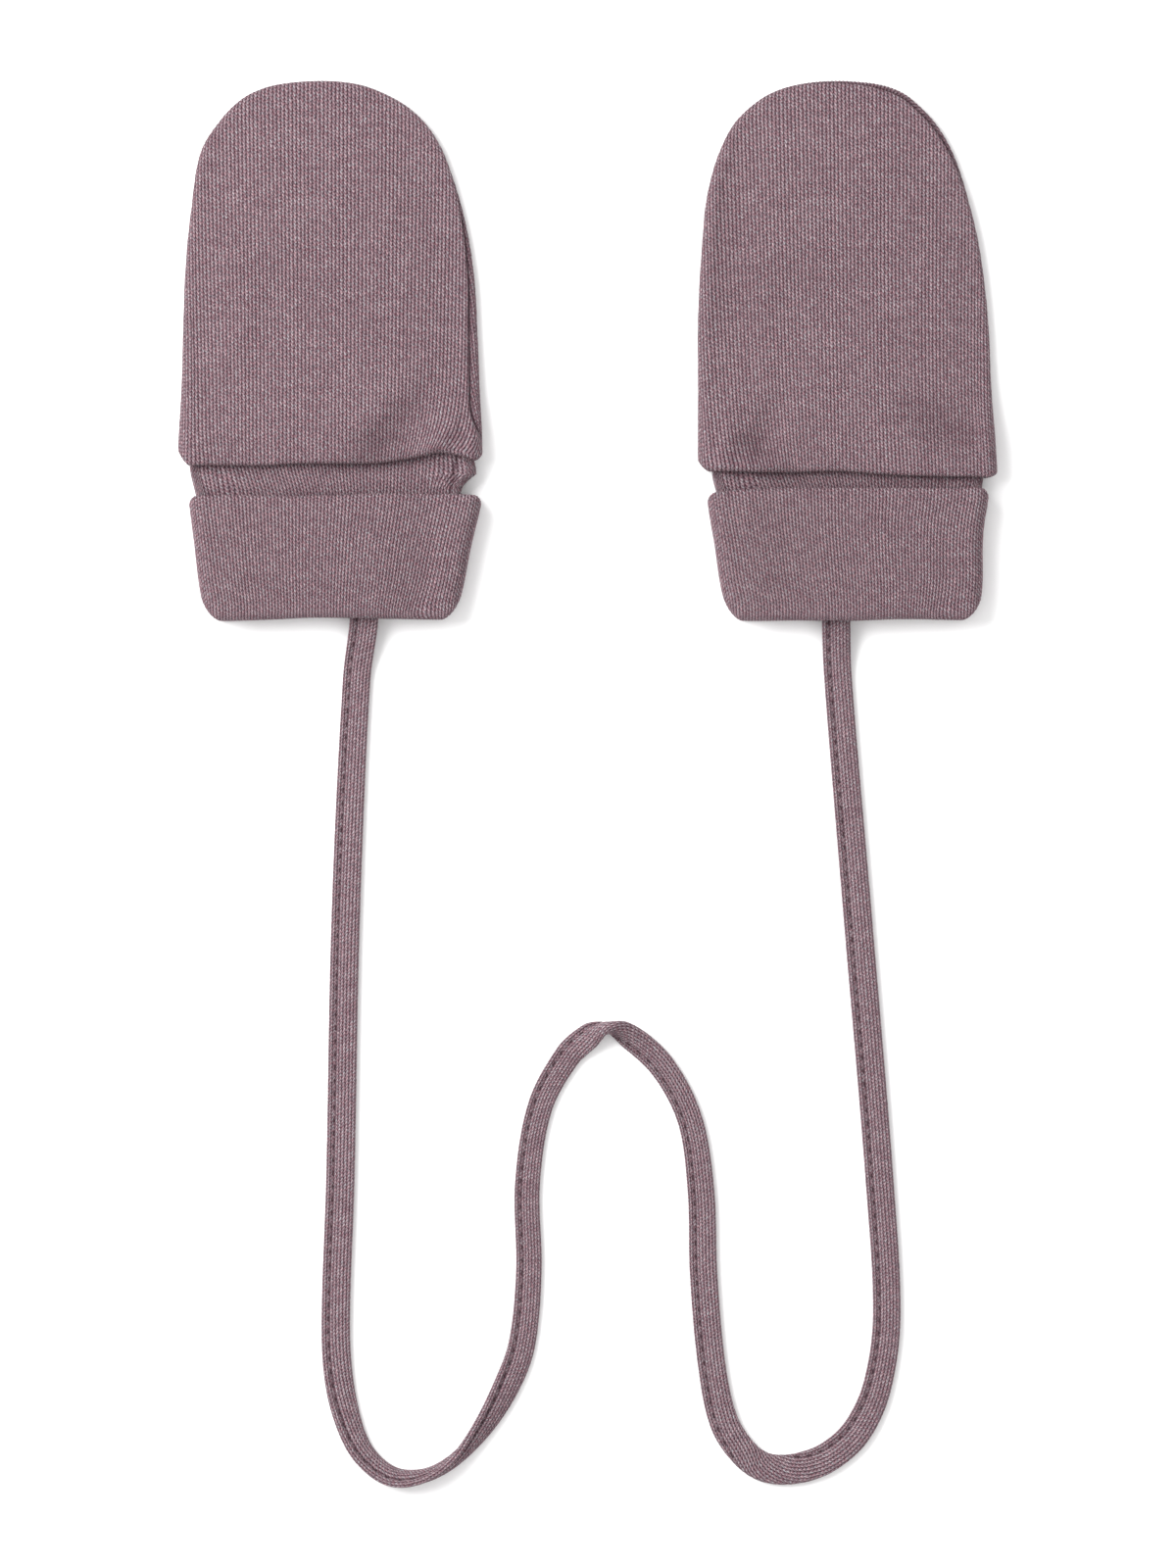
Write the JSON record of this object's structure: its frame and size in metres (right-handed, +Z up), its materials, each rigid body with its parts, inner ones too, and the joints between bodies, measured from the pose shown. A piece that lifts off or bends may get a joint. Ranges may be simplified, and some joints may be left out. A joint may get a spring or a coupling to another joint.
{
  "type": "pair of baby mittens",
  "caption": "Thumbless knitted baby mittens with doubled, turned-up cuffs, laid flat and tied together by a long flat stitched cord that runs out of the cuffs.",
  "frame": {"origin": "middle of the two mittens' footprint, without the cord, on the surface they lie on", "axes": "+X across the pair towards the right mitten, +Y from the cuffs to the fingertips, +Z up from the surface"},
  "size_m": [0.1797, 0.3092, 0.0101],
  "materials": {
    "jersey": "matt heathered mauve wool jersey, fine knit, slightly fuzzy",
    "cuff_jersey": "matt heathered mauve wool jersey, fine upright ribs",
    "cord_binding": "matt heathered mauve wool jersey, folded and stitched flat"
  },
  "bodies": {
    "root": {"left_front": "jersey", "left_back": "jersey", "left_cuff": "cuff_jersey", "right_front": "jersey", "right_back": "jersey", "right_cuff": "cuff_jersey", "cord": "cord_binding"}
  },
  "joints": []
}
